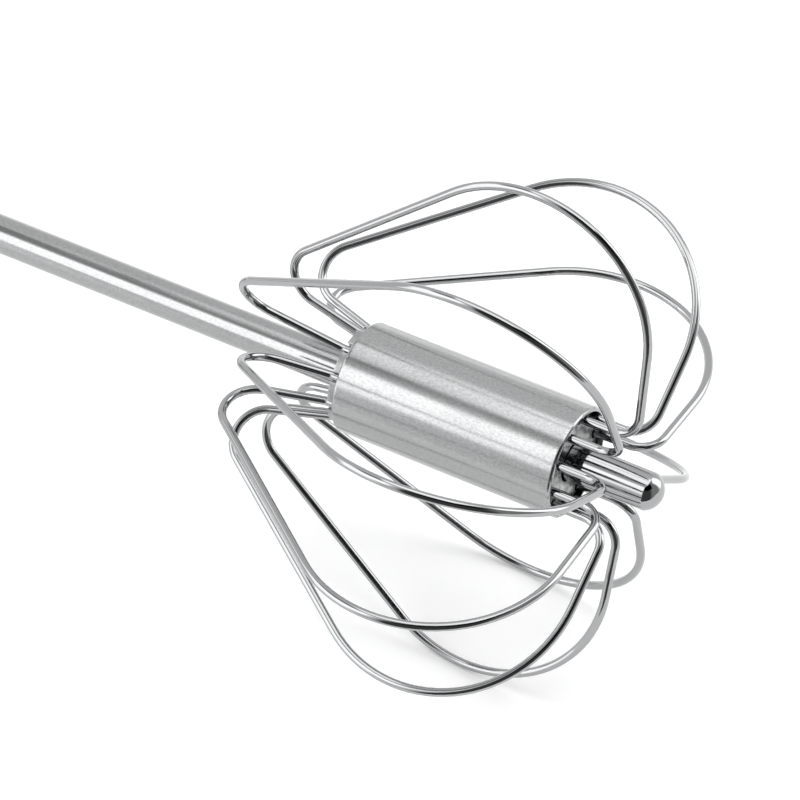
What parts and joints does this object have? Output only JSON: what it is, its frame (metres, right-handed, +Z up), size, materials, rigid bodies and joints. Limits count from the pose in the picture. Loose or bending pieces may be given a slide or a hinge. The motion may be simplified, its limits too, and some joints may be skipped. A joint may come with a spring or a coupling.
{
  "type": "rotary push whisk",
  "caption": "Push whisk: a balloon cage of bent wires on a tubular shaft that spins as its sprung handle is pushed down.",
  "frame": {"origin": "bottom centre of the bounding box, on the surface that the whisk lies on", "axes": "+X towards the tip of the whisk, +Y across it, +Z up. The whisk lies on its cage and the end of its handle, so its own axis rises 5.1 degrees towards the tip."},
  "size_m": [0.3042, 0.0714, 0.0682],
  "materials": {
    "polished_wire": "drawn stainless steel, polished like a mirror",
    "brushed_sleeve": "stainless steel tube, finely brushed along its length",
    "satin_tube": "stainless steel tube with a satin finish",
    "turned_steel": "turned and pressed stainless steel",
    "spring_steel": "bare spring steel",
    "nylon": "natural nylon"
  },
  "bodies": {
    "handle": {"handle_tube": "satin_tube", "end_cap": "turned_steel", "handle_ferrule": "turned_steel", "guide_bush": "nylon", "drive_strip": "spring_steel", "anchor_pin": "spring_steel", "return_spring": "spring_steel"},
    "carriage": {"thrust_washer": "turned_steel"},
    "head": {"petal_wire_1": "polished_wire", "petal_wire_2": "polished_wire", "petal_wire_3": "polished_wire", "petal_wire_4": "polished_wire", "petal_wire_5": "polished_wire", "petal_wire_6": "polished_wire", "petal_wire_7": "polished_wire", "petal_wire_8": "polished_wire", "petal_wire_9": "polished_wire", "petal_wire_10": "polished_wire", "wire_sleeve": "brushed_sleeve", "front_wire_disc": "turned_steel", "rear_wire_disc": "turned_steel", "shaft_tube": "satin_tube", "tip_pin": "polished_wire", "drive_nut": "turned_steel"}
  },
  "joints": [
    {"name": "push_slide", "type": "slide", "parent": "handle", "child": "carriage", "axis": [-0.996, 0, -0.0893], "range_m": [0, 0.07], "stiffness_N_per_m": 120, "springref_m": -0.042, "deforming": ["return_spring"]},
    {"name": "whisk_spin", "type": "hinge", "parent": "carriage", "child": "head", "pos_m": [-0.0093, 0.0003, 0.02002], "axis": [-0.996, 0, -0.0893], "range_deg": [0, 630.1]}
  ],
  "couplings": [
    {"joint": "whisk_spin", "follows": "push_slide", "rad_per_m": 157.08}
  ]
}
